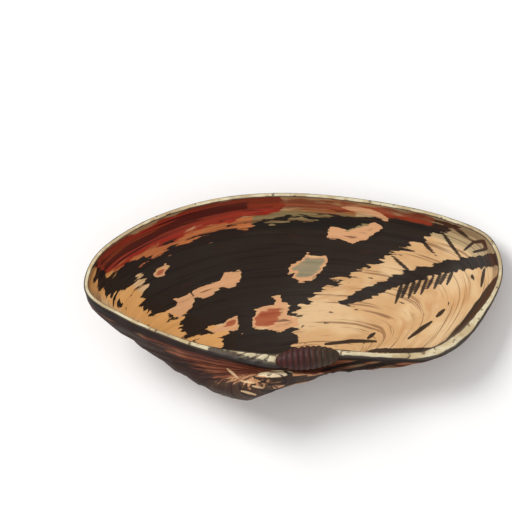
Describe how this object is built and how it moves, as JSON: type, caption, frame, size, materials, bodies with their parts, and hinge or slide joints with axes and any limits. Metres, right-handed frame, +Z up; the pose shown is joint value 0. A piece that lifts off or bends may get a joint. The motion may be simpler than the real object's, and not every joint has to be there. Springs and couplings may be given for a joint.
{
  "type": "bivalve shell",
  "caption": "One valve of a freshwater bivalve seen from its open side, lying on its rounded outside, with hinge plate, hinge teeth, thick rim and a ribbed ligament on the hinge line.",
  "frame": {"origin": "on the surface it rests on, under the middle of its bounding box", "axes": "+X towards the hind end along the length, +Y from the hinge towards the belly edge, +Z up"},
  "size_m": [0.0986, 0.0516, 0.0222],
  "materials": {
    "shell": "satin tan and maroon inside, cream rim, rough reddish-brown outside",
    "ligament": "dry, ribbed, reddish brown to olive brown"
  },
  "bodies": {
    "root": {"valve": "shell", "ligament": "ligament"}
  },
  "joints": []
}
